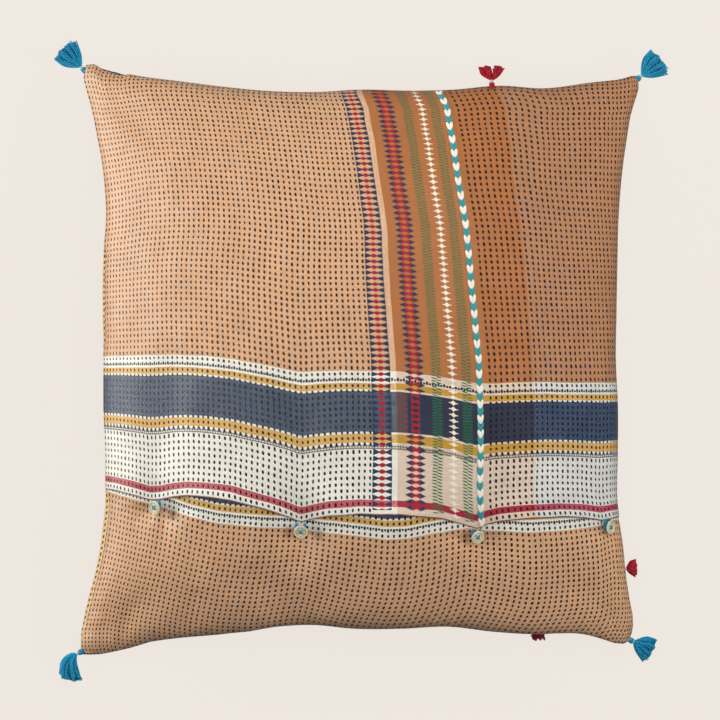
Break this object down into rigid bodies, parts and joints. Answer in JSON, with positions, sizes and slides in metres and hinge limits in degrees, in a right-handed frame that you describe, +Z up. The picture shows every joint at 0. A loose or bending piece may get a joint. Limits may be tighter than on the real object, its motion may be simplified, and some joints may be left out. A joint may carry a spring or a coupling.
{
  "type": "square throw pillow",
  "caption": "Square throw pillow lying face down, its back an overlapping buttoned opening with a woven border and figured stripes, with yarn tassels at corners and edges.",
  "frame": {"origin": "middle of the flat patch on which the pillow rests, on the floor", "axes": "+Z up out of the buttoned back, +Y from the buttoned opening towards the far seam, +X to the right with the opening seen low"},
  "size_m": [0.5359, 0.561, 0.1475],
  "materials": {
    "cover_cloth": "matte handwoven cotton and wool",
    "back_panel_cloth": "matte handwoven cotton and wool",
    "braid_yarn": "chain-stitched yarn, white and teal",
    "horn": "satin, pale horn",
    "teal_thread": "twisted thread",
    "teal_yarn": "soft yarn with a pale binding",
    "red_yarn": "soft yarn with a pale binding"
  },
  "bodies": {
    "root": {"cushion_body": "cover_cloth", "upper_back_panel": "back_panel_cloth", "chain_braid": "braid_yarn", "button_1": "horn", "button_2": "horn", "button_3": "horn", "button_4": "horn", "button_thread_1": "teal_thread", "button_thread_2": "teal_thread", "button_thread_3": "teal_thread", "button_thread_4": "teal_thread", "button_loop_1": "teal_thread", "button_loop_2": "teal_thread", "button_loop_3": "teal_thread", "button_loop_4": "teal_thread", "tassel_upper_left": "teal_yarn", "tassel_upper_right": "teal_yarn", "tassel_lower_left": "teal_yarn", "tassel_lower_right": "teal_yarn", "tassel_red_top": "red_yarn", "tassel_red_right": "red_yarn", "tassel_red_bottom": "red_yarn"}
  },
  "joints": []
}
